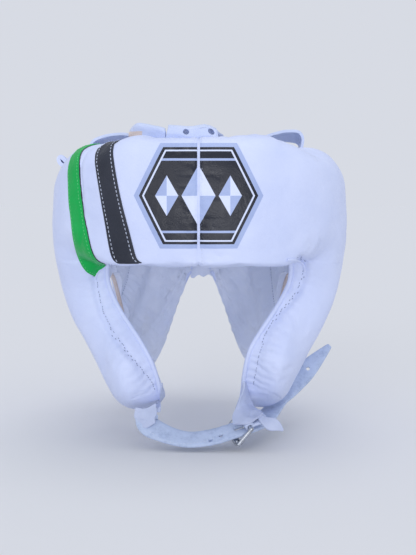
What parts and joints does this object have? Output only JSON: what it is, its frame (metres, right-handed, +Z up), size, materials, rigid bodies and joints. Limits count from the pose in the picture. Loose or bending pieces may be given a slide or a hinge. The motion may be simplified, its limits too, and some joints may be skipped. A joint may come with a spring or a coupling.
{
  "type": "boxing headgear",
  "caption": "Open-face padded leather boxing headgear with cheek pads, sewn stripes, crown straps, a rear hook-and-loop strap and a chin strap with a roller buckle.",
  "frame": {"origin": "centre of the wearer's head, midway between the ears", "axes": "+Z up to the crown, -Y to the wearer's front, +X to the wearer's left"},
  "size_m": [0.2146, 0.2444, 0.2246],
  "materials": {
    "white_leather": "smooth, soft sheen",
    "lining_leather": "smooth, matt",
    "strap_leather": "slightly rough flesh side",
    "green_leather": "smooth, soft sheen",
    "black_leather": "fine grain, matt",
    "foam": "matt open-cell foam",
    "hook_tape": "hook tape",
    "loop_tape": "loop tape",
    "buckle_steel": "bright nickel plate"
  },
  "bodies": {
    "shell": {"forehead_cover_right": "white_leather", "side_cover_right": "white_leather", "front_side_cover_left": "white_leather", "forehead_foam": "foam", "cheek_foam_right": "foam", "cheek_foam_left": "foam", "forehead_lining": "lining_leather", "cheek_lining_right": "lining_leather", "cheek_lining_left": "lining_leather", "rear_cover_right": "white_leather", "rear_cover_left": "white_leather", "rear_foam_right": "foam", "rear_foam_left": "foam", "rear_lining_right": "lining_leather", "rear_lining_left": "lining_leather", "green_stripe": "green_leather", "black_stripe": "black_leather", "crown_strap_long": "strap_leather", "crown_strap_cross": "strap_leather", "crown_lace_tab": "strap_leather", "rear_web": "lining_leather", "rear_strap_anchor": "strap_leather", "rear_loop_patch": "loop_tape", "chin_anchor_right": "strap_leather", "chin_anchor_left": "strap_leather"},
    "chin_strap_body": {"chin_strap": "strap_leather", "buckle_tab": "strap_leather", "tab_tongue": "strap_leather", "buckle_frame": "buckle_steel"},
    "roller_body": {"buckle_roller": "buckle_steel"},
    "prong_body": {"buckle_prong": "buckle_steel"},
    "rear_strap_body": {"rear_strap": "strap_leather", "rear_hook_patch": "hook_tape"}
  },
  "joints": [
    {"name": "chin_strap_swing", "type": "hinge", "parent": "shell", "child": "chin_strap_body", "pos_m": [0, -0.0705, -0.081], "axis": [1, 0, 0], "range_deg": [-45, 0]},
    {"name": "buckle_roller_spin", "type": "hinge", "parent": "chin_strap_body", "child": "roller_body", "pos_m": [0.02363, -0.07559, -0.09695], "axis": [-0.3892, 0.8579, 0.3354], "continuous": true},
    {"name": "buckle_prong_lift", "type": "hinge", "parent": "chin_strap_body", "child": "prong_body", "pos_m": [0.03243, -0.07585, -0.08607], "axis": [0.3892, -0.8579, -0.3354], "range_deg": [0, 45]},
    {"name": "rear_strap_peel", "type": "hinge", "parent": "shell", "child": "rear_strap_body", "pos_m": [-0.08088, 0.07457, 0.04674], "axis": [0.0007, 0.0016, 1], "range_deg": [0, 80]}
  ]
}
